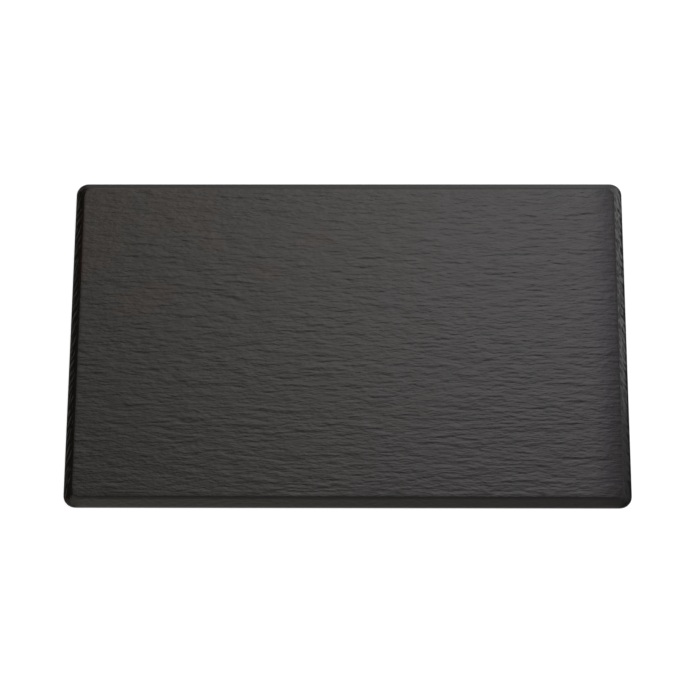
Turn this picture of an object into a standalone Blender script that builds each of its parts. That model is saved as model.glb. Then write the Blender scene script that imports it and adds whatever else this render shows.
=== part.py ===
"""A serving tray moulded in melamine, standing on four rubber feet.

Metres, +Z up. The origin is the middle of the tray on the table that it stands on.
+X runs along the long side and -Y is the front.
"""

import math

import bmesh
import bpy

# Plan
LENGTH = 0.530  # along X
WIDTH = 0.325  # along Y
FACE_CORNER_RADIUS = 0.001  # corners of the flat serving face

# Edge, from the serving face down to the rim
EDGE_CHAMFER = 0.008  # rise and run of the 45 degree slope
CREST_RADIUS = 0.006  # rounds the serving face into the slope
SHOULDER_RADIUS = 0.002  # rounds the slope into the upright land
LAND_HEIGHT = 0.002  # upright edge below the slope
RIM_RADIUS = 0.0005  # rounds the land's lower edge

# Shell
PANEL_THICKNESS = 0.004
SKIRT_THICKNESS = 0.004

# Feet, each bonded into a round seat under a corner
FOOT_DIAMETER = 0.020
FOOT_PROUD = 0.002  # from the table up to the rim
FOOT_INSET = 0.045  # from the tray's sides to the foot's axis
FOOT_EDGE_RADIUS = 0.0006
SEAT_DEPTH = 0.002
SEAT_WALL = 0.003
SEAT_CLEARANCE = 0.0003  # round the foot in its seat
PAD_THICKNESS = 0.0005
PAD_MARGIN = 0.0005  # the pad's edge lies this far inside the foot's
BOND_GAP = 0.0003  # between bonded faces

# Fineness of round shapes
CORNER_SEGMENTS = 8
CREST_SEGMENTS = 6
SHOULDER_SEGMENTS = 3
RIM_SEGMENTS = 2
ROUND_SIDES = 48

# Heights and reaches that follow from the sizes above
SLOPE_BEND = math.radians(45)
CREST_REACH = CREST_RADIUS * math.tan(SLOPE_BEND / 2)
SHOULDER_REACH = SHOULDER_RADIUS * math.tan(SLOPE_BEND / 2)
CORNER_RADIUS = FACE_CORNER_RADIUS + EDGE_CHAMFER + CREST_REACH
RIM_Z = FOOT_PROUD
SLOPE_FOOT_Z = RIM_Z + LAND_HEIGHT
TOP_Z = SLOPE_FOOT_Z + EDGE_CHAMFER
ROOF_Z = TOP_Z - PANEL_THICKNESS
SEAT_Z = RIM_Z + SEAT_DEPTH
PAD_TOP_Z = SEAT_Z - BOND_GAP
PAD_BOTTOM_Z = PAD_TOP_Z - PAD_THICKNESS
FOOT_TOP_Z = PAD_BOTTOM_Z - BOND_GAP

# Allowances of the modelling itself
SAME_LEVEL = 1e-6
CUT_MARGIN = 0.001  # a cutter starts this far outside what it cuts

SIDES_X = {"left": -1, "right": 1}
SIDES_Y = {"front": -1, "back": 1}


def clear_scene():
    for obj in list(bpy.data.objects):
        bpy.data.objects.remove(obj, do_unlink=True)


def new_collection(name):
    collection = bpy.data.collections.new(name)
    bpy.context.scene.collection.children.link(collection)
    return collection


def new_material(name, colour, roughness):
    material = bpy.data.materials.new(name)
    material.use_nodes = True
    shader = material.node_tree.nodes["Principled BSDF"]
    shader.inputs["Base Color"].default_value = (*colour, 1.0)
    shader.inputs["Roughness"].default_value = roughness
    shader.inputs["Metallic"].default_value = 0.0
    return material


def mesh_object(name, bm, collection):
    mesh = bpy.data.meshes.new(name)
    bm.to_mesh(mesh)
    bm.free()
    obj = bpy.data.objects.new(name, mesh)
    collection.objects.link(obj)
    return obj


def as_guide(obj):
    obj.hide_render = True
    obj.display_type = "WIRE"
    return obj


def finish_part(obj, material, origin):
    obj.data.materials.append(material)
    obj.data.shade_smooth()
    obj.data.set_sharp_from_angle(angle=math.radians(40))
    obj.parent = origin
    return obj


def bevel_level(bm, level, reach, segments):
    """Bevels the ring of edges that lies at one height."""
    ring = [e for e in bm.edges if all(abs(v.co.z - level) < SAME_LEVEL for v in e.verts)]
    bmesh.ops.bevel(bm, geom=ring, offset=reach, segments=segments, profile=0.5, affect="EDGES")


def chamfered_slab(length, width, bottom, top, corner_radius, chamfer):
    """A box with rounded upright edges and a 45 degree chamfer round its top."""
    bm = bmesh.new()
    bmesh.ops.create_cube(bm, size=1.0)
    bmesh.ops.scale(bm, vec=(length, width, top - bottom), verts=bm.verts)
    bmesh.ops.translate(bm, vec=(0, 0, (bottom + top) / 2), verts=bm.verts)
    uprights = [e for e in bm.edges if abs(e.verts[0].co.z - e.verts[1].co.z) > SAME_LEVEL]
    bmesh.ops.bevel(
        bm, geom=uprights, offset=corner_radius, segments=CORNER_SEGMENTS, profile=0.5, affect="EDGES"
    )
    bevel_level(bm, top, chamfer, 1)
    return bm


def disc(name, diameter, bottom, top, centre, collection):
    """An upright cylinder between two heights."""
    bm = bmesh.new()
    bmesh.ops.create_cone(
        bm,
        cap_ends=True,
        segments=ROUND_SIDES,
        radius1=diameter / 2,
        radius2=diameter / 2,
        depth=top - bottom,
    )
    obj = mesh_object(name, bm, collection)
    obj.location = (*centre, (bottom + top) / 2)
    return obj


def boolean(obj, other, operation):
    modifier = obj.modifiers.new(f"{operation.lower()} {other.name}", "BOOLEAN")
    modifier.operation = operation
    modifier.solver = "EXACT"
    modifier.object = other


def foot_places():
    """Name and centre of each foot, front left first."""
    for side_y, sign_y in SIDES_Y.items():
        for side_x, sign_x in SIDES_X.items():
            x = sign_x * (LENGTH / 2 - FOOT_INSET)
            y = sign_y * (WIDTH / 2 - FOOT_INSET)
            yield f"{side_y}_{side_x}", (x, y)


def make_hollow(guides):
    """The space under the panel, which leaves a skirt of even thickness below the slope."""
    even_chamfer = EDGE_CHAMFER + (math.sqrt(2) - 1) * SKIRT_THICKNESS - PANEL_THICKNESS
    chamfer = min(even_chamfer, ROOF_Z - RIM_Z)
    corner_radius = max(CORNER_RADIUS - SKIRT_THICKNESS, chamfer + FACE_CORNER_RADIUS)
    bm = chamfered_slab(
        LENGTH - 2 * SKIRT_THICKNESS,
        WIDTH - 2 * SKIRT_THICKNESS,
        RIM_Z - CUT_MARGIN,
        ROOF_Z,
        corner_radius,
        chamfer,
    )
    return as_guide(mesh_object("hollow_cutter", bm, guides))


def make_body(parts, guides):
    """The moulding: a chamfered slab, hollow below, with a post and a seat for each foot."""
    bm = chamfered_slab(LENGTH, WIDTH, RIM_Z, TOP_Z, CORNER_RADIUS, EDGE_CHAMFER)
    bevel_level(bm, TOP_Z, CREST_REACH, CREST_SEGMENTS)
    bevel_level(bm, SLOPE_FOOT_Z, SHOULDER_REACH, SHOULDER_SEGMENTS)
    bevel_level(bm, RIM_Z, RIM_RADIUS, RIM_SEGMENTS)
    body = mesh_object("tray_body", bm, parts)
    boolean(body, make_hollow(guides), "DIFFERENCE")
    seat_diameter = FOOT_DIAMETER + 2 * SEAT_CLEARANCE
    post_diameter = seat_diameter + 2 * SEAT_WALL
    inside_panel_z = ROOF_Z + PANEL_THICKNESS / 2
    for place, centre in foot_places():
        post = disc(f"seat_post_{place}", post_diameter, RIM_Z, inside_panel_z, centre, guides)
        boolean(body, as_guide(post), "UNION")
        seat = disc(f"seat_cutter_{place}", seat_diameter, RIM_Z - CUT_MARGIN, SEAT_Z, centre, guides)
        boolean(body, as_guide(seat), "DIFFERENCE")
    return body


def make_foot(place, centre, parts):
    foot = disc(f"foot_{place}", FOOT_DIAMETER, 0.0, FOOT_TOP_Z, centre, parts)
    bevel = foot.modifiers.new("rounded edges", "BEVEL")
    bevel.width = FOOT_EDGE_RADIUS
    bevel.segments = 2
    bevel.limit_method = "ANGLE"
    bevel.angle_limit = math.radians(60)
    return foot


def make_pad(place, centre, parts):
    diameter = FOOT_DIAMETER - 2 * PAD_MARGIN
    return disc(f"adhesive_pad_{place}", diameter, PAD_BOTTOM_Z, PAD_TOP_Z, centre, parts)


def main():
    clear_scene()
    parts = new_collection("melamine_tray")
    guides = new_collection("melamine_tray_cutters")
    origin = bpy.data.objects.new("tray_origin", None)
    parts.objects.link(origin)
    melamine = new_material("black_melamine", (0.016, 0.0155, 0.015), 0.38)
    rubber = new_material("black_rubber", (0.02, 0.02, 0.02), 0.8)
    foam = new_material("acrylic_foam", (0.55, 0.55, 0.52), 0.6)
    finish_part(make_body(parts, guides), melamine, origin)
    for place, centre in foot_places():
        finish_part(make_foot(place, centre, parts), rubber, origin)
        finish_part(make_pad(place, centre, parts), foam, origin)


main()
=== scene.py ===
"""Looks of the serving tray: a slate-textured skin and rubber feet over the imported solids.

Metres, +Z up, in the frame of the solids: the origin is the middle of the tray on the table,
+X runs along the long side and -Y is the front.
"""

import math

import bmesh
import bpy
import numpy as np
from mathutils import Matrix, Vector
from mathutils.geometry import delaunay_2d_cdt

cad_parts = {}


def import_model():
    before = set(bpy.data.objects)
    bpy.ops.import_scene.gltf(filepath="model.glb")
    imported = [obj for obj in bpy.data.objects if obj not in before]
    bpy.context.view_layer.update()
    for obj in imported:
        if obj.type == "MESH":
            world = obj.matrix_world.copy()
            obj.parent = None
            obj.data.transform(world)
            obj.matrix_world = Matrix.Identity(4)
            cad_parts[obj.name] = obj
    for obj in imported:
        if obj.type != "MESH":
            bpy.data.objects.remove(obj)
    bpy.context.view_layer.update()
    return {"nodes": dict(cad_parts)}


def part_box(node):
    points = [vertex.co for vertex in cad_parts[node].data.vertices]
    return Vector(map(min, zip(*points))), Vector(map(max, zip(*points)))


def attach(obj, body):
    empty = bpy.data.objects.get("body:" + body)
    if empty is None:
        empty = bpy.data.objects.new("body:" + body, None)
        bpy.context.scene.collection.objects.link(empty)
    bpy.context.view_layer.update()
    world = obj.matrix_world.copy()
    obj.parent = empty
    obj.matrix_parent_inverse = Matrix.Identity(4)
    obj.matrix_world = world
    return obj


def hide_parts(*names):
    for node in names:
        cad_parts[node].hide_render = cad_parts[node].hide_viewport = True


MM = 0.001
SEED = 7

# Edge of the moulding, as in the solids
FACE_CORNER_RADIUS = 1.0 * MM
EDGE_CHAMFER = 8.0 * MM
CREST_RADIUS = 6.0 * MM
SHOULDER_RADIUS = 2.0 * MM
LAND_HEIGHT = 2.0 * MM
RIM_RADIUS = 0.5 * MM
PANEL_THICKNESS = 4.0 * MM
SKIRT_THICKNESS = 4.0 * MM
SLOPE_BEND = math.radians(45)
CREST_REACH = CREST_RADIUS * math.tan(SLOPE_BEND / 2)
SHOULDER_REACH = SHOULDER_RADIUS * math.tan(SLOPE_BEND / 2)
CORNER_RADIUS = FACE_CORNER_RADIUS + EDGE_CHAMFER + CREST_REACH
HOLLOW_CHAMFER = EDGE_CHAMFER + (math.sqrt(2) - 1) * SKIRT_THICKNESS - PANEL_THICKNESS

# Crest of the skin: radius, first and last tilt of its two rounds
CREST_ROUNDS = ((2.0 * MM, 0, 30), (9.0 * MM, 30, 45))

# Seats under the tray, as in the solids
SEAT_DEPTH = 2.0 * MM
SEAT_WALL = 3.0 * MM
SEAT_CLEARANCE = 0.3 * MM

# Feet: the grip grooves under each of them
FOOT_EDGE_RADIUS = 0.6 * MM
GRIP_RADII = (3.2 * MM, 5.6 * MM, 8.0 * MM)
GRIP_WIDTH = 0.9 * MM
GRIP_DEPTH = 0.4 * MM

# Small rounds that the moulding has below
INNER_RIM_RADIUS = 0.3 * MM
ROOF_FILLET = 1.5 * MM
POST_FILLET = 1.0 * MM
POST_EDGE_RADIUS = 0.3 * MM
SEAT_EDGE_CHAMFER = 0.2 * MM

# Fineness of the meshes
GRID_STEP_X = 2.75 * MM
GRID_STEP_Y = 0.84 * MM
CORNER_STEPS = 9
CREST_STEPS = 4
SLOPE_STEPS = 8
SHOULDER_STEPS = 3
ROUND_STEPS = 3
POST_SIDES = 48
FOOT_SIDES = 64
ROOF_STEP = 18.0 * MM
SHARP_ANGLE = math.radians(50)
INSIDE_EDGES = 1  # the roof's triangles are kept inside its outer edges
SAME_PLACE = 1e-9

# Slate relief of the serving face: share, length and width of the strokes in mm, lean
STROKES = ((1.0, 4.2, 0.82, 0.02), (0.75, 1.6, 0.7, 0.01), (0.22, 8.0, 3.0, 0.04))
FIELD_STEP = 0.5  # mm
FACE_FIELD_SHAPE = (672, 1080)  # rows from front to back, columns from left to right
FACE_FIELD_HALF_X = 0.27  # half of the field's length
FACE_FIELD_HALF_Y = 0.168
STROKE_FADE = 0.75  # power by which the detail along a stroke fades
STROKE_SOFTNESS = 1.0  # mm
STEEPENING = 0.07
PATCH_LENGTH = 10.0  # mm
PATCH_WIDTH = 4.0  # mm
PATCH_SOFTNESS = 6.0  # mm
PATCH_CONTRAST = 0.12
PATCH_LIMITS = (0.2, 2.2)  # least and greatest strength of the strokes in a patch
FACE_SLOPE = 0.0365  # root mean square slope of the face's strokes

# Chipped relief of the sloping edge. A reach is measured outwards from the rectangle
# between the centres of the four corner rounds
EDGE_FIELD_SHAPE = (128, 4096)  # rows across the edge, columns along it
EDGE_STROKE_SPACING = 8.8  # mm along the edge
EDGE_STROKE_SPREAD = 0.06  # strokes per mm more or less than that
EDGE_STROKE_SLANT = 2.3  # along the edge for a step of 1 towards outside
EDGE_STROKE_LENGTH = 3.2  # mm
EDGE_EVENNESS = 14.0  # mm over which the strokes are made equally strong
EDGE_FAINTEST = 0.05
EDGE_SLOPE_RIGHT = 0.32
EDGE_SLOPE_LEFT = 0.28
EDGE_SLOPE_SIDES = 0.03  # of the front and back edges
EDGE_START_RIGHT = 300.0  # mm along the field, at the middle of each edge
EDGE_START_LEFT = 1000.0
EDGE_START_SIDES = 1500.0
EDGE_STRETCH_SIDES = 0.6  # mm along the field for 1 mm along the front and back edges
EDGE_TURN_ENDS = (0.0, 0.9)  # how far an edge faces left or right as its strokes set in
EDGE_TURN_SIDES = (0.99, 1.0)  # how far an edge faces front or back as its strokes set in
EDGE_FADE_SIDES = 25.0  # mm before the corners over which the front and back strokes fade
EDGE_REACH_START = (3.2 * MM, 5.5 * MM)  # reach over which the strokes set in
EDGE_REACH_END = (10.4 * MM, 11.4 * MM)  # reach over which they end
SLATE_REACH_END = (2.5 * MM, 5.5 * MM)  # reach over which the face's strokes end

# Shape of the face near its corners and its right end
CORNER_PULL = 1.4 * MM  # rounds the corners of the face more than its outline
CORNER_PULL_SIZE = 3.0 * MM
END_ROLL = 1.05 * MM  # the face falls this much towards the right edge
END_ROLL_LENGTH = 28.0 * MM
END_ROLL_TWIST = 0.5  # share by which it falls more at the front corner
END_ROLL_REACH_END = (3.0 * MM, 10.0 * MM)  # reach over which the fall ends

# Materials: noise scales per metre along X, Y and Z, colours by the value of the noise
NOISE_SPAN = (0.25, 0.75)  # most noise lies between these values
SLATE_DRIFT = (0.9, -2.0, 0.0)  # change of the value that colours the slate, per metre
SLATE_CLOUDS = (14, 22, 14)
SLATE_CLOUD_SPAN = (0.1, 0.9)
SLATE_COLOURS = (
    (0.02, (0.0150, 0.0082, 0.0064)),
    (0.20, (0.0090, 0.0082, 0.0070)),
    (0.50, (0.0088, 0.0082, 0.0074)),
    (0.80, (0.0092, 0.0082, 0.0080)),
)
# Painted shade: the sloping sides that face away from the light, all but the right one, are coloured darker
# and browner than the slate
SHADED_SIDE_CLOUDS = (40, 40, 40)
SHADED_SIDE_COLOURS = ((0.35, (0.0074, 0.0059, 0.0043)), (0.65, (0.0082, 0.0063, 0.0045)))
SHADED_SIDE_HEIGHTS = (0.0100, 0.0115)  # the painted shade colour of the sides lies below and the slate colour above
SHADED_SIDE_END_X = (0.24, 0.26)  # the painted shade gives way to the slate colour on the lit right side
MELAMINE_IOR = 1.52
GLOSS_CLOUDS = (60, 140, 100)
GLOSS_ROUGHNESS = (0.235, 0.265)
FINE_STROKES = (230, 640, 400)
FINE_STROKE_HEIGHT = 0.125 * MM
MELAMINE_GRAIN = (2400, 2600, 2400)
MELAMINE_GRAIN_HEIGHT = 0.004 * MM
RUBBER_DUST = (420, 420, 420)
RUBBER_GREYS = ((0.35, 0.014), (0.75, 0.034))
RUBBER_ROUGHNESS = (0.66, 0.86)
RUBBER_GRAIN = (3000, 3000, 3000)
RUBBER_GRAIN_HEIGHT = 0.03 * MM
FOAM_CELLS = (2200, 2200, 2200)
FOAM_COLOURS = ((0.3, (0.44, 0.44, 0.41)), (0.7, (0.60, 0.60, 0.57)))
FOAM_ROUGHNESS = (0.5, 0.75)
FOAM_CELL_HEIGHT = 0.04 * MM

# Camera, at the photograph's viewing angle
CAMERA_TARGET = Vector((0.0019, -0.0064, 0.0))
CAMERA_DISTANCE = 2.2214
CAMERA_ELEVATION = math.radians(71.633)
CAMERA_AZIMUTH = math.radians(2.052)
CAMERA_ROLL = math.radians(-1.905)
CAMERA_LENS = 119.88
SENSOR = 36.0

# Light round the tray, by the parts of a direction to the right (X) and to the back (Y)
ROOM_LEVELS = (
    (-0.9, 0.0),
    (-0.5, 0.06),
    (-0.15, 0.13),
    (0.2, 0.47),
    (0.36, 0.34),
    (0.5, 0.40),
    (0.8, 0.95),
)
ROOM_DEPTHS = ((-0.3, 0.30), (-0.05, 0.85), (0.14, 0.44), (0.38, 1.0))  # share of it by Y
ROOM_TINTS = (
    (-0.15, (1.02, 1.0, 0.912)),
    (-0.05, (1.02, 1.0, 0.908)),
    (0.0, (1.025, 1.0, 0.938)),
    (0.12, (1.048, 1.0, 1.088)),
)
PANEL_LEVELS = ((-0.22, 0.0), (0.11, 1.0), (0.23, 0.04))
PANEL_RADIANCE = 3.29
PANEL_FRONT = (0.175, 0.367)  # the panel sets in over this part of Y
PANEL_BACK = (0.42, 0.68, 1.0, 0.2)  # and falls to a fifth over this one
BACK_WALL = ((0.64, 0.0), (0.96, 1.0))
FRONT_WALL = ((-0.95, 0.8), (-0.6, 0.45), (-0.08, 0.0))
FRONT_WALL_SIDES = (  # share of it by X
    (-0.6, 1.0),
    (-0.26, 0.46),
    (-0.13, 0.42),
    (0.0, 0.30),
    (0.1, 0.17),
    (0.4, 0.17),
    (0.75, 1.0),
)
HORIZON_LEVELS = ((-0.12, 1.28), (0.12, 0.24), (0.6, 1.65))  # in front, by X
HORIZON_SIDES = 0.62  # share of it that shines from the sides and from behind
HORIZON_FRONT = (-0.9, -0.5)  # part of Y over which it falls to that share
HORIZON_START = math.radians(9)
HORIZON_END = math.radians(20)
SOFTBOX_RADIANCE = 2.2
SOFTBOX_SIZE = 1.1
SOFTBOX_PLACES = {
    "left_softbox": (-0.98, -0.52, 1.42),
    "right_softbox": (0.98, -0.52, 1.42),
}

# Cards by the tray's edges: turn in degrees, levels of light along and up each card
CARDS = {
    "left_card": {
        "place": (-0.2715, 0.06, 0.0125),
        "turn": (66, 0, 90),
        "size": (0.44, 0.0273),
        "along": ((0.0, 1.0), (1.0, 1.0)),
        "up": ((0.10, 0.0), (0.14, 0.30), (0.20, 0.30), (0.24, 0.0)),
    },
    "right_card": {
        "place": (0.280, 0.0, 0.0125),
        "turn": (120, 0, 90),
        "size": (0.38, 0.029),
        "along": ((0.1, 0.19), (0.26, 0.42), (0.36, 0.84), (0.5, 1.34), (0.7, 1.27), (0.85, 1.65)),
        "up": ((0.30, 0.04), (0.36, 1.62), (0.60, 1.62), (0.80, 0.4)),
    },
    "right_corner_card": {
        "place": (0.2744, -0.1719, 0.013),
        "turn": (90, 0, 45),
        "size": (0.05, 0.026),
        "along": ((0.0, 0.19), (0.4, 0.04)),
        "up": ((0.6, 1.0), (1.0, 3.0)),
    },
    "left_corner_card": {
        "place": (-0.2744, -0.1719, 0.006),
        "turn": (90, 0, -45),
        "size": (0.05, 0.012),
        "along": ((0.0, 0.12), (1.0, 0.32)),
        "up": ((0.5, 1.0), (1.0, 1.6)),
    },
    "back_card": {
        "place": (0.0, 0.224, 0.0005),
        "turn": (0, 0, 0),
        "size": (0.60, 0.12),
        "along": ((0.0, 0.23), (1.0, 0.52)),
        "up": ((0.0, 1.0), (1.0, 1.0)),
    },
}
FLOOR_HALF_SIZE = 30.0
FLOOR_COLOUR = 0.45
FLOOR_ROUGHNESS = 0.9
FLOOR_GLOW = 0.76


# Relief fields


def streaks(rng, length, width, lean, softness, shape):
    """Noise drawn out along the columns into strokes of about the given length and width."""
    rows, columns = shape
    across = np.fft.fftfreq(rows, FIELD_STEP)[:, None]
    along = np.fft.rfftfreq(columns, FIELD_STEP)[None, :] - lean * across
    gain = np.exp(-((math.pi * across * width) ** 2) - (math.pi * along * softness) ** 2)
    gain /= (1 + (2 * math.pi * along * length) ** 2) ** STROKE_FADE
    return np.fft.irfft2(np.fft.rfft2(rng.standard_normal(shape)) * gain, s=shape)


def unit_slope(field):
    """The field scaled to a root mean square slope of 1 across the strokes."""
    return field / np.gradient(field, FIELD_STEP, axis=0).std()


def sample(field, across, along):
    """Values of a field that repeats, between its points, at places in mm."""
    rows, columns = field.shape
    v = across / FIELD_STEP
    u = along / FIELD_STEP
    v0 = np.floor(v).astype(int)
    u0 = np.floor(u).astype(int)
    fv = v - v0
    fu = u - u0
    near = field[v0 % rows, u0 % columns] * (1 - fu) + field[v0 % rows, (u0 + 1) % columns] * fu
    far = field[(v0 + 1) % rows, u0 % columns] * (1 - fu) + field[(v0 + 1) % rows, (u0 + 1) % columns] * fu
    return near * (1 - fv) + far * fv


def face_field(rng):
    """Height of the slate strokes on the serving face, in mm for a slope of 1."""
    shape = FACE_FIELD_SHAPE
    field = sum(
        share * unit_slope(streaks(rng, length, width, lean, STROKE_SOFTNESS, shape))
        for share, length, width, lean in STROKES
    )
    patches = streaks(rng, PATCH_LENGTH, PATCH_WIDTH, 0.0, PATCH_SOFTNESS, shape)
    field = unit_slope(field) * np.clip(1 + PATCH_CONTRAST * patches / patches.std(), *PATCH_LIMITS)
    field = unit_slope(field)
    rows, columns = np.meshgrid(np.arange(shape[0]), np.arange(shape[1]), indexing="ij")
    steep = sample(field, rows * FIELD_STEP + STEEPENING * field, columns * FIELD_STEP)
    return unit_slope(steep)


def edge_field(rng):
    """Height of the slanting strokes along the edge, in mm for a slope of 1."""
    shape = EDGE_FIELD_SHAPE
    across = np.fft.fftfreq(shape[0], FIELD_STEP)[:, None]
    along = np.fft.rfftfreq(shape[1], FIELD_STEP)[None, :]
    spacing = (along - 1 / EDGE_STROKE_SPACING) / EDGE_STROKE_SPREAD
    slant = (across - EDGE_STROKE_SLANT * along) * EDGE_STROKE_LENGTH
    gain = np.exp(-(spacing**2) - slant**2)
    field = np.fft.irfft2(np.fft.rfft2(rng.standard_normal(shape)) * gain, s=shape)
    broad = np.exp(-((across * EDGE_EVENNESS) ** 2) - (along * EDGE_EVENNESS) ** 2)
    strength = np.fft.irfft2(np.fft.rfft2(field**2) * broad, s=shape)
    return unit_slope(field / np.sqrt(strength + EDGE_FAINTEST * strength.mean()))


def ease(value, start, end):
    """Rises smoothly from 0 at start to 1 at end."""
    share = np.clip((value - start) / (end - start), 0.0, 1.0)
    return share * share * (3 - 2 * share)


# Tray skin


def arc(centre_reach, centre_z, radius, start, end, steps):
    """Points of a round in a section, with angles in degrees from straight up towards outside."""
    for k in range(1, steps + 1):
        angle = math.radians(start + (end - start) * k / steps)
        yield centre_reach + radius * math.sin(angle), centre_z + radius * math.cos(angle)


def crest_points():
    """Reach and height of the crest's points, from the end of the serving face."""
    reach, height = 0.0, 0.0
    for radius, start, end in CREST_ROUNDS:
        tilt = math.radians(start)
        centre = (reach - radius * math.sin(tilt), height - radius * math.cos(tilt))
        for reach, height in arc(*centre, radius, start, end, CREST_STEPS):
            yield reach, height


def upper_section(rim_z, top_z):
    """Reach and height of the rings from the serving face down to the land."""
    crest = list(crest_points())
    width, last_height = crest[-1]
    face_end = FACE_CORNER_RADIUS + CREST_REACH - last_height - width  # ends the crest on the slope
    yield face_end, top_z
    for reach, height in crest:
        yield face_end + reach, top_z + height
    slope_foot_z = rim_z + LAND_HEIGHT
    start_reach = face_end + width
    end_reach = CORNER_RADIUS - SHOULDER_REACH * math.cos(SLOPE_BEND)
    for k in range(1, SLOPE_STEPS + 1):
        reach = start_reach + (end_reach - start_reach) * k / SLOPE_STEPS
        yield reach, slope_foot_z + CORNER_RADIUS - reach
    shoulder_z = slope_foot_z - SHOULDER_REACH
    yield from arc(CORNER_RADIUS - SHOULDER_RADIUS, shoulder_z, SHOULDER_RADIUS, 45, 90, SHOULDER_STEPS)


def lower_section(rim_z, top_z):
    """Reach and height of the rings from the land round the rim to the roof of the hollow."""
    roof_z = top_z - PANEL_THICKNESS
    wall = CORNER_RADIUS - SKIRT_THICKNESS
    yield CORNER_RADIUS, rim_z + RIM_RADIUS
    yield from arc(CORNER_RADIUS - RIM_RADIUS, rim_z + RIM_RADIUS, RIM_RADIUS, 90, 180, ROUND_STEPS)
    inner_rim = wall + INNER_RIM_RADIUS
    yield inner_rim, rim_z
    yield from arc(inner_rim, rim_z + INNER_RIM_RADIUS, INNER_RIM_RADIUS, 180, 270, ROUND_STEPS)
    flat = wall - HOLLOW_CHAMFER - ROOF_FILLET * math.tan(SLOPE_BEND / 2)
    fillet_drop = ROOF_FILLET * (1 - math.cos(SLOPE_BEND))
    yield flat + ROOF_FILLET * math.sin(SLOPE_BEND), roof_z - fillet_drop
    yield from arc(flat, roof_z - ROOF_FILLET, ROOF_FILLET, 45, 0, ROUND_STEPS)


class Perimeter:
    """Round of the inner rectangle, from which every ring of the skin reaches outwards."""

    def __init__(self, xs, ys):
        columns, rows = len(xs), len(ys)
        last = rows - 1
        front = [(i, 0) for i in range(columns)]
        right = [(columns - 1, j) for j in range(rows)]
        back = [(i, last) for i in reversed(range(columns))]
        left = [(0, j) for j in reversed(range(rows))]
        cells, angles = [], []
        for side, angle in ((front, -90), (right, 0), (back, 90), (left, 180)):
            cells += side + [side[-1]] * (CORNER_STEPS - 1)
            angles += [angle] * len(side)
            angles += [angle + 90 * k / CORNER_STEPS for k in range(1, CORNER_STEPS)]
        cells = np.array(cells)
        turn = np.radians(np.array(angles))
        self.grid_index = cells[:, 1] * columns + cells[:, 0]
        self.base = np.stack([xs[cells[:, 0]], ys[cells[:, 1]]], axis=1)
        self.out = np.stack([np.cos(turn), np.sin(turn)], axis=1)

    def ring(self, reach):
        return self.base + self.out * reach


class Relief:
    """What the slate, the chipped edge and the shape of the face add to the plain moulding."""

    def __init__(self, crest_corner):
        rng = np.random.default_rng(SEED)
        self.face = face_field(rng)
        self.edge = edge_field(rng)
        self.crest_corner = np.array(crest_corner)

    def slate(self, x, y):
        """Height of the strokes on the serving face."""
        across = (y + FACE_FIELD_HALF_Y) / MM
        along = (x + FACE_FIELD_HALF_X) / MM
        return sample(self.face, across, along) * FACE_SLOPE * MM

    def chips(self, perimeter, reach):
        """Height of the chipped strokes on one ring, along the section's normal."""
        x, y = (perimeter.base / MM).T
        facing_end = np.abs(perimeter.out[:, 0])
        facing_side = np.abs(perimeter.out[:, 1])
        turned = np.arccos(np.clip(facing_end, 0, 1)) * np.sign(y) * reach / MM
        on_end = ease(facing_end, *EDGE_TURN_ENDS)
        from_corner = np.abs(x).max() - np.abs(x)
        on_side = ease(facing_side, *EDGE_TURN_SIDES) * ease(from_corner, 0.0, EDGE_FADE_SIDES)
        right = perimeter.out[:, 0] > 0
        end_place = np.where(right, EDGE_START_RIGHT, EDGE_START_LEFT) + y + turned
        side_place = EDGE_START_SIDES + x * EDGE_STRETCH_SIDES
        across = np.full(len(x), reach / MM)
        end_slope = np.where(right, EDGE_SLOPE_RIGHT, EDGE_SLOPE_LEFT)
        ends = sample(self.edge, across, end_place) * end_slope * on_end
        sides = sample(self.edge, across, side_place) * EDGE_SLOPE_SIDES * on_side
        window = ease(reach, *EDGE_REACH_START) * (1 - ease(reach, *EDGE_REACH_END))
        return (ends + sides) * MM * window

    def roll(self, x, y):
        """Height of the face where it falls towards its right crest."""
        crest_x, crest_y = self.crest_corner
        fall = END_ROLL * (1 + END_ROLL_TWIST * np.clip(-y / crest_y, 0, None))
        return -fall * np.clip(1 - np.clip(crest_x - x, 0, None) / END_ROLL_LENGTH, 0, None) ** 2

    def round_corners(self, flat):
        """Points in the plan, with those round the corners of the crest pulled inwards."""
        away = (np.abs(flat) - self.crest_corner) / CORNER_PULL_SIZE
        pull = CORNER_PULL * np.exp(-(away**2).sum(axis=1) / 2)
        return flat - np.sign(flat) * (pull / math.sqrt(2))[:, None]


def strips(inner, outer):
    """Faces between two rings of the same count, triangles where the inner ring stays on a point."""
    count = len(outer)
    for k in range(count):
        n = (k + 1) % count
        if inner[k] == inner[n]:
            yield inner[k], outer[k], outer[n]
        else:
            yield inner[k], outer[k], outer[n], inner[n]


def coarser(inner, outer):
    """Faces from a ring to one of half its count."""
    count = len(outer)
    for k in range(count):
        n = (k + 1) % count
        middle = inner[2 * k + 1]
        end = inner[(2 * k + 2) % len(inner)]
        yield inner[2 * k], outer[k], outer[n], end, middle


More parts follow.
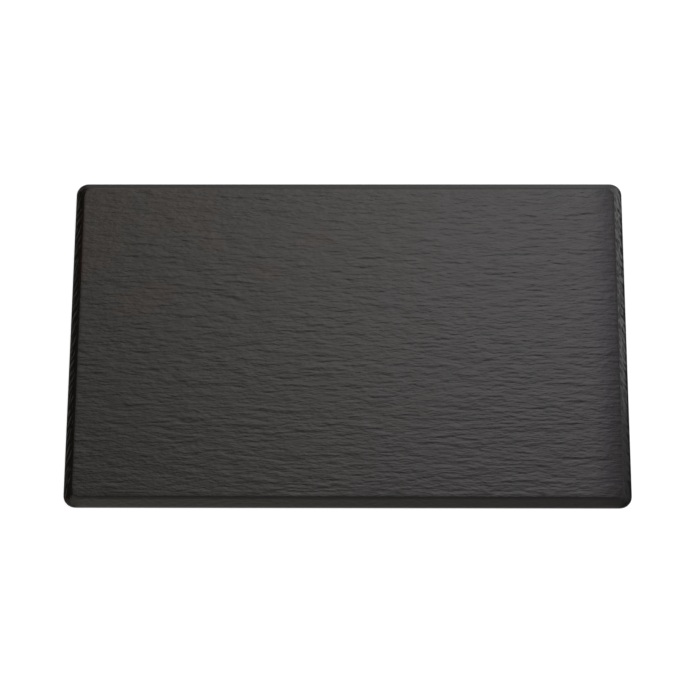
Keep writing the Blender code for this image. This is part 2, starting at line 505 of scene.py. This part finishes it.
class Skin:
    """Points and faces of a mesh, gathered ring by ring."""

    def __init__(self):
        self.points = []
        self.faces = []
        self.count = 0

    def add(self, points):
        index = np.arange(self.count, self.count + len(points))
        self.points.append(np.asarray(points, dtype=float))
        self.count += len(points)
        return index

    def add_ring(self, flat, heights):
        return self.add(np.column_stack([flat, np.broadcast_to(heights, len(flat))]))

    def add_turned(self, centre, section, sides):
        """Rings round an upright axis, joined one to the next."""
        rings = [self.add_ring(circle(centre, radius, sides), height) for radius, height in section]
        for inner, outer in zip(rings, rings[1:]):
            self.faces += strips(inner, outer)
        return rings

    def add_cap(self, ring, centre, height):
        """Triangles that close a ring at its middle."""
        middle = self.add([(centre[0], centre[1], height)])[0]
        count = len(ring)
        self.faces += [(ring[k], ring[(k + 1) % count], middle) for k in range(count)]

    def plan(self, index):
        return np.concatenate(self.points)[index][:, :2]

    def mesh(self, name):
        mesh = bpy.data.meshes.new(name)
        mesh.from_pydata(np.concatenate(self.points).tolist(), [], [tuple(map(int, f)) for f in self.faces])
        bm = bmesh.new()
        bm.from_mesh(mesh)
        bmesh.ops.recalc_face_normals(bm, faces=bm.faces)
        bm.to_mesh(mesh)
        bm.free()
        return mesh


def skin_object(skin, name):
    mesh = skin.mesh(name)
    mesh.shade_smooth()
    mesh.set_sharp_from_angle(angle=SHARP_ANGLE)
    obj = bpy.data.objects.new(name, mesh)
    bpy.context.scene.collection.objects.link(obj)
    return obj


def circle(centre, radius, sides):
    turn = np.arange(sides) * 2 * math.pi / sides
    return np.stack([centre[0] + radius * np.cos(turn), centre[1] + radius * np.sin(turn)], axis=1)


def post_section(rim_z, roof_z, foot_radius):
    """Radius and height of a seat post's rings, from the roof down and into the seat."""
    seat = foot_radius + SEAT_CLEARANCE
    side = seat + SEAT_WALL
    yield side + POST_FILLET, roof_z
    for k in range(1, ROUND_STEPS + 1):
        angle = math.pi / 2 * k / ROUND_STEPS
        yield side + POST_FILLET * (1 - math.sin(angle)), roof_z - POST_FILLET * (1 - math.cos(angle))
    for k in range(ROUND_STEPS + 1):
        angle = math.pi / 2 * k / ROUND_STEPS
        round_in = POST_EDGE_RADIUS * (1 - math.cos(angle))
        yield side - round_in, rim_z + POST_EDGE_RADIUS * (1 - math.sin(angle))
    yield seat + SEAT_EDGE_CHAMFER, rim_z
    yield seat, rim_z + SEAT_EDGE_CHAMFER
    yield seat, rim_z + SEAT_DEPTH


def foot_names(frame):
    return sorted(name for name in frame["nodes"] if name.startswith("foot_"))


def foot_place(name):
    """Centre and radius of a foot."""
    low, high = (Vector(corner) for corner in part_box(name))
    return (low + high) / 2, (high.x - low.x) / 2


def roof_net(outline, places, fillet_edge):
    """Points of a wide net inside the roof's outline, clear of the posts."""
    low = outline.min(axis=0) + ROOF_STEP / 2
    high = outline.max(axis=0) - ROOF_STEP / 2
    counts = np.round((high - low) / ROOF_STEP).astype(int) + 1
    xs, ys = (np.linspace(a, b, n) for a, b, n in zip(low, high, counts))
    net = np.array([(x, y) for y in ys for x in xs])
    for centre in places:
        net = net[np.hypot(*(net - np.array(centre)).T) > fillet_edge + ROOF_STEP / 4]
    return net


def add_roof(skin, boundary, places, foot_radius, rim_z, roof_z):
    """Underside of the panel inside a ring, with a post and a seat for each foot."""
    fillet_edge = foot_radius + SEAT_CLEARANCE + SEAT_WALL + POST_FILLET
    loops = [boundary]
    for centre in places:
        rings = skin.add_turned(centre, post_section(rim_z, roof_z, foot_radius), POST_SIDES)
        skin.add_cap(rings[-1], centre, rim_z + SEAT_DEPTH)
        loops.append(rings[0])
    inside = skin.add_ring(roof_net(skin.plan(boundary), places, fillet_edge), roof_z)
    order = np.concatenate(loops + [inside])
    plan = skin.plan(order)
    edges, start = [], 0
    for loop in loops:
        edges += [(start + k, start + (k + 1) % len(loop)) for k in range(len(loop))]
        start += len(loop)
    points = [Vector(point) for point in plan]
    _, _, triangles, sources, _, _ = delaunay_2d_cdt(points, edges, [], INSIDE_EDGES, SAME_PLACE, True)
    for triangle in triangles:
        corners = [sources[v][0] for v in triangle]
        middle = plan[corners].mean(axis=0)
        if all(math.hypot(*(middle - np.array(centre))) > fillet_edge for centre in places):
            skin.faces.append(tuple(order[corners]))


def add_face(skin, xs, ys, top_z, relief):
    """The serving face as a net of points."""
    x, y = (grid.ravel() for grid in np.meshgrid(xs, ys))
    heights = top_z + relief.slate(x, y) + relief.roll(x, y)
    flat = relief.round_corners(np.column_stack([x, y]))
    grid = skin.add_ring(flat, heights).reshape(len(ys), len(xs))
    cells = np.stack([grid[:-1, :-1], grid[:-1, 1:], grid[1:, 1:], grid[1:, :-1]], axis=-1)
    skin.faces += cells.reshape(-1, 4).tolist()


def add_edge(skin, perimeter, section, relief):
    """Rings from the serving face down to the land, of which the last is returned."""
    ring = perimeter.grid_index
    for k in range(1, len(section)):
        reach, height = section[k]
        before = section[k - 1]
        after = section[min(k + 1, len(section) - 1)]
        normal = Vector((before[1] - after[1], after[0] - before[0])).normalized()
        flat = perimeter.ring(reach)
        slate = relief.slate(*perimeter.base.T) * (1 - ease(reach, *SLATE_REACH_END))
        roll = relief.roll(*flat.T) * (1 - ease(reach, *END_ROLL_REACH_END))
        chips = relief.chips(perimeter, reach)
        flat = relief.round_corners(flat + perimeter.out * (chips * normal.x)[:, None])
        outer = skin.add_ring(flat, height + slate + roll + chips * normal.y)
        skin.faces += strips(ring, outer)
        ring = outer
    return ring


def add_underside(skin, perimeter, land, frame, rim_z, top_z):
    """Rings from the land round the rim and up into the hollow, and the roof inside them."""
    section = lower_section(rim_z, top_z)
    rings = [skin.add_ring(perimeter.ring(reach)[::2], height) for reach, height in section]
    skin.faces += coarser(land, rings[0])
    for inner, outer in zip(rings, rings[1:]):
        skin.faces += strips(inner, outer)
    feet = [foot_place(name) for name in foot_names(frame)]
    places = [(centre.x, centre.y) for centre, _ in feet]
    foot_radius = feet[0][1]
    add_roof(skin, rings[-1], places, foot_radius, rim_z, top_z - PANEL_THICKNESS)


def make_tray_skin(frame):
    """The moulding with its slate relief, as one closed skin round the solid."""
    low, high = (Vector(corner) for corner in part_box("tray_body"))
    half_x = high.x - CORNER_RADIUS
    half_y = high.y - CORNER_RADIUS
    xs = np.linspace(-half_x, half_x, round(2 * half_x / GRID_STEP_X) + 1)
    ys = np.linspace(-half_y, half_y, round(2 * half_y / GRID_STEP_Y) + 1)
    relief = Relief((half_x + CREST_REACH, half_y + CREST_REACH))
    perimeter = Perimeter(xs, ys)
    section = [(0.0, high.z), *upper_section(low.z, high.z)]
    skin = Skin()
    add_face(skin, xs, ys, high.z, relief)
    land = add_edge(skin, perimeter, section, relief)
    add_underside(skin, perimeter, land, frame, low.z, high.z)
    return skin_object(skin, "tray_skin")


# Feet


def foot_section(radius, bottom, top):
    """Radius and height of a foot's rings, from the middle of its sole round to its top."""
    for middle in GRIP_RADII:
        for k in range(2 * ROUND_STEPS + 1):
            angle = math.pi * k / (2 * ROUND_STEPS)
            yield middle - GRIP_WIDTH / 2 * math.cos(angle), bottom + GRIP_DEPTH * math.sin(angle)
    inner = radius - FOOT_EDGE_RADIUS
    yield inner, bottom
    yield from arc(inner, bottom + FOOT_EDGE_RADIUS, FOOT_EDGE_RADIUS, 180, 90, ROUND_STEPS)
    yield radius, top - FOOT_EDGE_RADIUS
    yield from arc(inner, top - FOOT_EDGE_RADIUS, FOOT_EDGE_RADIUS, 90, 0, ROUND_STEPS)


def make_foot(name):
    """A turned rubber foot with round grip grooves in its sole."""
    low, high = (Vector(corner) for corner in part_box(name))
    centre, radius = foot_place(name)
    skin = Skin()
    rings = skin.add_turned(centre, foot_section(radius, low.z, high.z), FOOT_SIDES)
    skin.add_cap(rings[0], centre, low.z)
    skin.add_cap(rings[-1], centre, high.z)
    return skin_object(skin, f"rubber_{name}")


# Materials


def new_material(name):
    material = bpy.data.materials.new(name)
    material.use_nodes = True
    tree = material.node_tree
    return material, tree, tree.nodes["Principled BSDF"]


def place_node(tree, scale):
    """The place on the object in metres, times a scale along each axis."""
    place = tree.nodes.new("ShaderNodeTexCoord").outputs["Object"]
    mapping = tree.nodes.new("ShaderNodeMapping")
    mapping.inputs["Scale"].default_value = scale
    tree.links.new(place, mapping.inputs["Vector"])
    return mapping.outputs["Vector"]


def noise_node(tree, scale, detail):
    noise = tree.nodes.new("ShaderNodeTexNoise")
    noise.inputs["Scale"].default_value = 1.0
    noise.inputs["Detail"].default_value = detail
    tree.links.new(place_node(tree, scale), noise.inputs["Vector"])
    return noise.outputs["Fac"]


def ramp_node(tree, factor, stops):
    """Colour between stops of a position and a colour."""
    ramp = tree.nodes.new("ShaderNodeValToRGB")
    elements = ramp.color_ramp.elements
    while len(elements) < len(stops):
        elements.new(0.5)
    for element, (position, colour) in zip(elements, stops):
        element.position = position
        element.color = (*colour, 1.0)
    tree.links.new(factor, ramp.inputs["Fac"])
    return ramp.outputs["Color"]


def greys(stops):
    return [(at, (level,) * 3) for at, level in stops]


def range_node(tree, value, start, end, low, high):
    """Goes from low to high as the value goes from start to end."""
    spread = tree.nodes.new("ShaderNodeMapRange")
    spread.inputs["From Min"].default_value = start
    spread.inputs["From Max"].default_value = end
    spread.inputs["To Min"].default_value = low
    spread.inputs["To Max"].default_value = high
    tree.links.new(value, spread.inputs["Value"])
    return spread.outputs["Result"]


def smooth_range(tree, value, start, end, low=0.0, high=1.0):
    """Goes smoothly from low to high as the value goes from start to end."""
    spread = range_node(tree, value, start, end, low, high)
    spread.node.interpolation_type = "SMOOTHSTEP"
    return spread


def bump_node(tree, height, distance, before=None):
    bump = tree.nodes.new("ShaderNodeBump")
    bump.inputs["Strength"].default_value = 1.0
    bump.inputs["Distance"].default_value = distance
    tree.links.new(height, bump.inputs["Height"])
    if before is not None:
        tree.links.new(before, bump.inputs["Normal"])
    return bump.outputs["Normal"]


def math_node(tree, operation, first, second):
    """A sum or product of two values, of which the second may be a number."""
    node = tree.nodes.new("ShaderNodeMath")
    node.operation = operation
    tree.links.new(first, node.inputs[0])
    if isinstance(second, float):
        node.inputs[1].default_value = second
    else:
        tree.links.new(second, node.inputs[1])
    return node.outputs["Value"]


def drift_node(tree):
    """A value that drifts across the object, broken up by broad clouds."""
    place = tree.nodes.new("ShaderNodeTexCoord").outputs["Object"]
    drift = tree.nodes.new("ShaderNodeVectorMath")
    drift.operation = "DOT_PRODUCT"
    drift.inputs[1].default_value = SLATE_DRIFT
    tree.links.new(place, drift.inputs[0])
    clouds = range_node(tree, noise_node(tree, SLATE_CLOUDS, 4), *NOISE_SPAN, *SLATE_CLOUD_SPAN)
    return math_node(tree, "ADD", drift.outputs["Value"], clouds)


def mix_node(tree, factor, first, second):
    """Goes from the first colour to the second as the factor goes from 0 to 1."""
    mix = tree.nodes.new("ShaderNodeMix")
    mix.data_type = "RGBA"
    sockets = {socket.identifier: socket for socket in mix.inputs}
    tree.links.new(factor, sockets["Factor_Float"])
    tree.links.new(first, sockets["A_Color"])
    tree.links.new(second, sockets["B_Color"])
    return next(socket for socket in mix.outputs if socket.identifier == "Result_Color")


def shaded_side_node(tree):
    """0 on the serving face and 1 on the sloping sides, apart from the lit right one: the sides that are
    painted darker and browner as shade.
    """
    place = tree.nodes.new("ShaderNodeSeparateXYZ")
    tree.links.new(tree.nodes.new("ShaderNodeTexCoord").outputs["Object"], place.inputs["Vector"])
    below = smooth_range(tree, place.outputs["Z"], *SHADED_SIDE_HEIGHTS, 1.0, 0.0)
    inside = smooth_range(tree, place.outputs["X"], *SHADED_SIDE_END_X, 1.0, 0.0)
    return math_node(tree, "MULTIPLY", below, inside)


def melamine_material():
    material, tree, shader = new_material("slate_melamine")
    slate = ramp_node(tree, drift_node(tree), SLATE_COLOURS)
    # painted shade: a darker, browner colour on the sloping sides away from the light
    shaded_side = ramp_node(tree, noise_node(tree, SHADED_SIDE_CLOUDS, 2), SHADED_SIDE_COLOURS)
    tree.links.new(mix_node(tree, shaded_side_node(tree), slate, shaded_side), shader.inputs["Base Color"])
    clouds = noise_node(tree, GLOSS_CLOUDS, 3)
    roughness = range_node(tree, clouds, *NOISE_SPAN, *GLOSS_ROUGHNESS)
    tree.links.new(roughness, shader.inputs["Roughness"])
    shader.inputs["IOR"].default_value = MELAMINE_IOR
    strokes = bump_node(tree, noise_node(tree, FINE_STROKES, 2), FINE_STROKE_HEIGHT)
    grain = bump_node(tree, noise_node(tree, MELAMINE_GRAIN, 2), MELAMINE_GRAIN_HEIGHT, strokes)
    tree.links.new(grain, shader.inputs["Normal"])
    return material


def rubber_material():
    material, tree, shader = new_material("moulded_rubber")
    dust = noise_node(tree, RUBBER_DUST, 4)
    tree.links.new(ramp_node(tree, dust, greys(RUBBER_GREYS)), shader.inputs["Base Color"])
    roughness = range_node(tree, dust, *NOISE_SPAN, *RUBBER_ROUGHNESS)
    tree.links.new(roughness, shader.inputs["Roughness"])
    grain = noise_node(tree, RUBBER_GRAIN, 2)
    tree.links.new(bump_node(tree, grain, RUBBER_GRAIN_HEIGHT), shader.inputs["Normal"])
    return material


def foam_material():
    material, tree, shader = new_material("acrylic_foam_tape")
    cells = noise_node(tree, FOAM_CELLS, 3)
    tree.links.new(ramp_node(tree, cells, FOAM_COLOURS), shader.inputs["Base Color"])
    roughness = range_node(tree, cells, *NOISE_SPAN, *FOAM_ROUGHNESS)
    tree.links.new(roughness, shader.inputs["Roughness"])
    tree.links.new(bump_node(tree, cells, FOAM_CELL_HEIGHT), shader.inputs["Normal"])
    return material


def set_material(obj, material):
    obj.data.materials.clear()
    obj.data.materials.append(material)


# Studio


def make_camera():
    camera = bpy.data.objects.new("camera", bpy.data.cameras.new("camera"))
    camera.data.lens = CAMERA_LENS
    camera.data.sensor_width = SENSOR
    level = math.cos(CAMERA_ELEVATION)
    back = Vector(
        (math.sin(CAMERA_AZIMUTH) * level, -math.cos(CAMERA_AZIMUTH) * level, math.sin(CAMERA_ELEVATION))
    )
    right = (-back).cross(Vector((0, 0, 1))).normalized()
    up = right.cross(-back)
    turned_right = right * math.cos(CAMERA_ROLL) + up * math.sin(CAMERA_ROLL)
    turned_up = up * math.cos(CAMERA_ROLL) - right * math.sin(CAMERA_ROLL)
    turn = Matrix((turned_right, turned_up, back)).transposed()
    camera.matrix_world = Matrix.Translation(CAMERA_TARGET + back * CAMERA_DISTANCE) @ turn.to_4x4()
    bpy.context.scene.collection.objects.link(camera)
    bpy.context.scene.camera = camera


def make_softbox(name, place):
    """A square lamp of an even brightness that faces the tray and leaves no glint on gloss."""
    light = bpy.data.lights.new(name, "AREA")
    light.shape = "RECTANGLE"
    light.size = SOFTBOX_SIZE
    light.size_y = SOFTBOX_SIZE
    light.energy = SOFTBOX_RADIANCE * math.pi * SOFTBOX_SIZE * SOFTBOX_SIZE
    lamp = bpy.data.objects.new(name, light)
    lamp.location = place
    lamp.rotation_mode = "QUATERNION"
    lamp.rotation_quaternion = (-Vector(place)).to_track_quat("-Z", "Y")
    lamp.visible_camera = False
    lamp.visible_glossy = False
    bpy.context.scene.collection.objects.link(lamp)


def side_ramp(tree, value, stops):
    """Colour between stops of a direction's part, which runs from -1 to 1."""
    share = range_node(tree, value, -1.0, 1.0, 0.0, 1.0)
    return ramp_node(tree, share, [((at + 1) / 2, colour) for at, colour in stops])


def sky_node(tree, x, y):
    """Level of the room, with a soft panel overhead and walls that brighten downwards."""
    across, deep = side_ramp(tree, x, greys(ROOM_LEVELS)), side_ramp(tree, y, greys(ROOM_DEPTHS))
    room = math_node(tree, "MULTIPLY", across, deep)
    panel = math_node(tree, "MULTIPLY", side_ramp(tree, x, greys(PANEL_LEVELS)), PANEL_RADIANCE)
    panel = math_node(tree, "MULTIPLY", panel, smooth_range(tree, y, *PANEL_FRONT))
    panel = math_node(tree, "MULTIPLY", panel, smooth_range(tree, y, *PANEL_BACK))
    sky = math_node(tree, "ADD", room, panel)
    sky = math_node(tree, "ADD", sky, side_ramp(tree, y, greys(BACK_WALL)))
    front, sides = side_ramp(tree, y, greys(FRONT_WALL)), side_ramp(tree, x, greys(FRONT_WALL_SIDES))
    return math_node(tree, "ADD", sky, math_node(tree, "MULTIPLY", front, sides))


def horizon_node(tree, x, y):
    """Level of the horizon, which is dimmer at the sides and behind."""
    levels = side_ramp(tree, x, greys(HORIZON_LEVELS))
    return math_node(tree, "MULTIPLY", levels, smooth_range(tree, y, *HORIZON_FRONT, 1.0, HORIZON_SIDES))


def make_world():
    """A room that is darker to the left, over a horizon of its own brightness."""
    world = bpy.data.worlds.new("studio")
    bpy.context.scene.world = world
    world.use_nodes = True
    tree = world.node_tree
    parts = tree.nodes.new("ShaderNodeSeparateXYZ")
    tree.links.new(tree.nodes.new("ShaderNodeTexCoord").outputs["Generated"], parts.inputs["Vector"])
    x, y, z = (parts.outputs[axis] for axis in "XYZ")
    mix = tree.nodes.new("ShaderNodeMix")
    mix.data_type = "FLOAT"
    above = smooth_range(tree, z, math.sin(HORIZON_START), math.sin(HORIZON_END))
    tree.links.new(above, mix.inputs["Factor"])
    tree.links.new(horizon_node(tree, x, y), mix.inputs["A"])
    tree.links.new(sky_node(tree, x, y), mix.inputs["B"])
    tree.links.new(mix.outputs["Result"], tree.nodes["Background"].inputs["Strength"])
    tree.links.new(side_ramp(tree, x, ROOM_TINTS), tree.nodes["Background"].inputs["Color"])


def make_square(name, half_size):
    bm = bmesh.new()
    bmesh.ops.create_grid(bm, x_segments=1, y_segments=1, size=half_size)
    mesh = bpy.data.meshes.new(name)
    bm.to_mesh(mesh)
    bm.free()
    square = bpy.data.objects.new(name, mesh)
    bpy.context.scene.collection.objects.link(square)
    return square


def make_floor():
    """A pale floor that takes shadows, and glows a little where it is seen."""
    floor = make_square("floor", FLOOR_HALF_SIZE)
    material, tree, shader = new_material("floor_paper")
    shader.inputs["Base Color"].default_value = (FLOOR_COLOUR, FLOOR_COLOUR, FLOOR_COLOUR, 1)
    shader.inputs["Roughness"].default_value = FLOOR_ROUGHNESS
    shader.inputs["Specular IOR Level"].default_value = 0.0
    path = tree.nodes.new("ShaderNodeLightPath")
    seen = math_node(tree, "ADD", path.outputs["Is Camera Ray"], path.outputs["Is Glossy Ray"])
    seen = math_node(tree, "ADD", seen, path.outputs["Is Transmission Ray"])
    glow = math_node(tree, "MULTIPLY", seen, FLOOR_GLOW)
    glow.node.use_clamp = True
    shader.inputs["Emission Color"].default_value = (1, 1, 1, 1)
    tree.links.new(glow, shader.inputs["Emission Strength"])
    set_material(floor, material)


def make_card(name, place, turn, size, along, up):
    """A card beside the tray that only its gloss can see, with levels of light along and up the card."""
    card = make_square(name, 0.5)
    card.scale = (*size, 1.0)
    card.rotation_euler = [math.radians(angle) for angle in turn]
    card.location = place
    material, tree, shader = new_material(name)
    shader.inputs["Base Color"].default_value = (0, 0, 0, 1)
    shader.inputs["Specular IOR Level"].default_value = 0.0
    shader.inputs["Emission Color"].default_value = (1, 1, 1, 1)
    spot = tree.nodes.new("ShaderNodeSeparateXYZ")
    tree.links.new(tree.nodes.new("ShaderNodeTexCoord").outputs["Generated"], spot.inputs["Vector"])
    across = ramp_node(tree, spot.outputs["X"], greys(along))
    upwards = ramp_node(tree, spot.outputs["Y"], greys(up))
    tree.links.new(math_node(tree, "MULTIPLY", across, upwards), shader.inputs["Emission Strength"])
    set_material(card, material)
    card.visible_camera = False
    card.visible_diffuse = False
    card.visible_shadow = False
    card.visible_transmission = False


def make_studio():
    make_camera()
    make_world()
    make_floor()
    for name, card in CARDS.items():
        make_card(name, **card)
    for name, place in SOFTBOX_PLACES.items():
        make_softbox(name, place)


def main():
    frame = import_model()
    make_studio()

    tray = make_tray_skin(frame)
    set_material(tray, melamine_material())
    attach(tray, "root")
    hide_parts("tray_body")
    rubber = rubber_material()
    for name in foot_names(frame):
        foot = make_foot(name)
        set_material(foot, rubber)
        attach(foot, "root")
        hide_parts(name)
    foam = foam_material()
    for name, node in frame["nodes"].items():
        if name.startswith("adhesive_pad_"):
            set_material(node, foam)

    bpy.context.scene.view_settings.view_transform = "Standard"


main()
